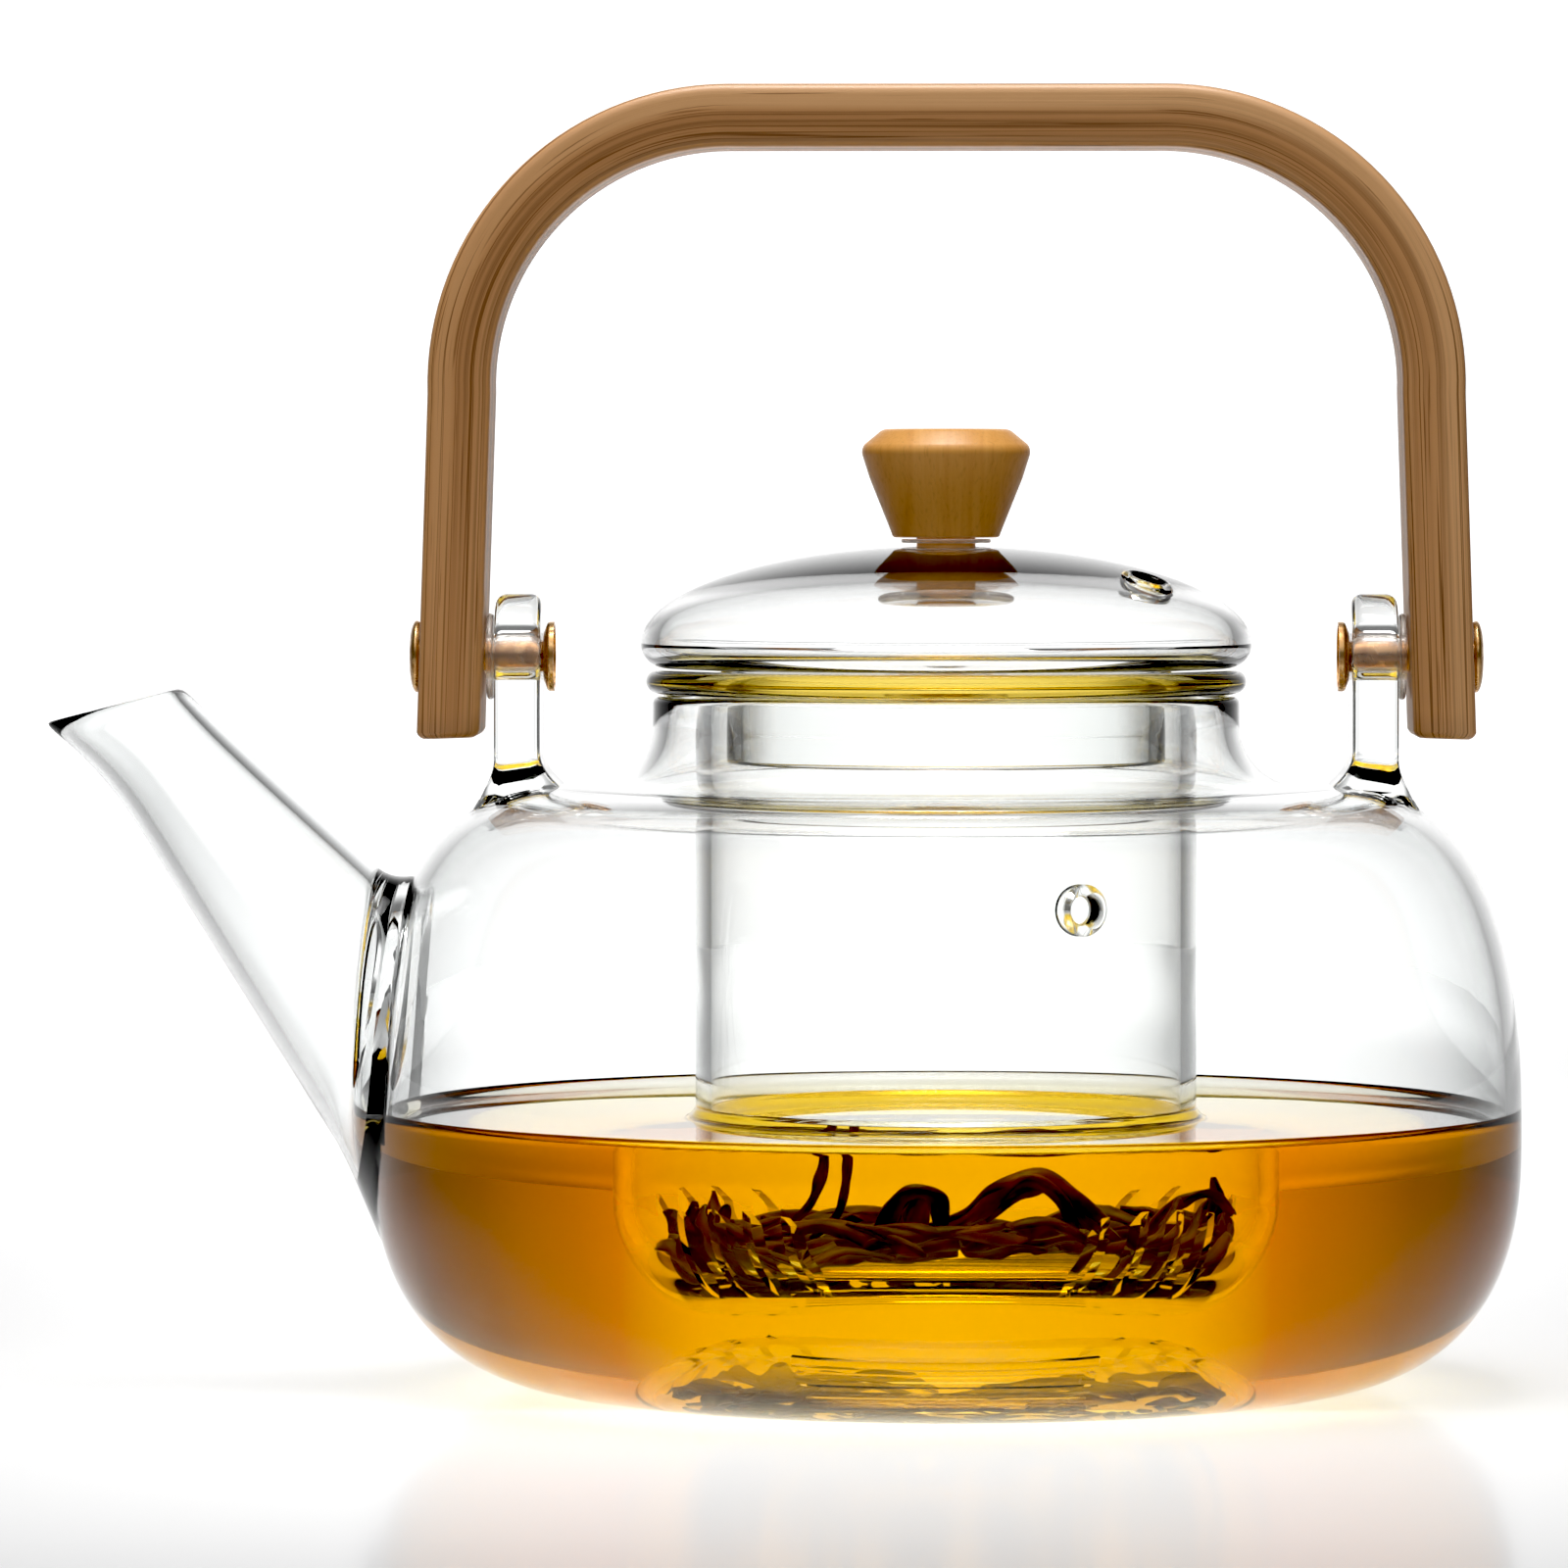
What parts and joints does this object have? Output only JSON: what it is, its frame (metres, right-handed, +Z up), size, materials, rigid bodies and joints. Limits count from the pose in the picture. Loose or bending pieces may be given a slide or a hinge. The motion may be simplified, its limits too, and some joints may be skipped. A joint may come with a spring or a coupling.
{
  "type": "glass teapot",
  "caption": "Round clear glass teapot with a straight tapered spout, lift-out glass infuser, domed lid with a wooden knob, and a swinging bamboo bail handle.",
  "frame": {"origin": "centre of the flat base of the bowl, on the surface that the pot stands on", "axes": "+Z up along the bowl's axis; +X from the spout through the bowl, so the spout points to -X; +Y towards the back; the bail swings about a line along X"},
  "size_m": [0.1938, 0.1506, 0.1703],
  "materials": {
    "glass": "clear polished borosilicate",
    "rim_glass": "clear polished borosilicate, the rim warm in tone",
    "bamboo": "carbonised bamboo, satin lacquer",
    "knob_wood": "turned hardwood, satin oil",
    "brass": "polished",
    "silicone": "translucent silicone",
    "clear_silicone": "clear silicone"
  },
  "bodies": {
    "pot": {"pot_body": "glass", "spout": "glass", "lug_left": "glass", "lug_right": "glass", "grommet_left": "silicone", "grommet_right": "silicone"},
    "handle": {"handle": "bamboo", "rivet_left": "brass", "rivet_right": "brass", "rivet_cap_left": "brass", "rivet_cap_right": "brass"},
    "infuser": {"infuser": "rim_glass"},
    "lid": {"lid": "glass", "lid_knob": "knob_wood", "knob_gasket": "clear_silicone", "knob_washer": "clear_silicone"}
  },
  "joints": [
    {"name": "handle_swing", "type": "hinge", "parent": "pot", "child": "handle", "pos_m": [0, 0, 0.0958], "axis": [1, 0, 0], "range_deg": [-100, 100]},
    {"name": "infuser_lift", "type": "slide", "parent": "pot", "child": "infuser", "axis": [0, 0, 1], "range_m": [0, 0.036]},
    {"name": "lid_lift", "type": "slide", "parent": "infuser", "child": "lid", "axis": [0, 0, 1], "range_m": [0, 0.036]}
  ]
}
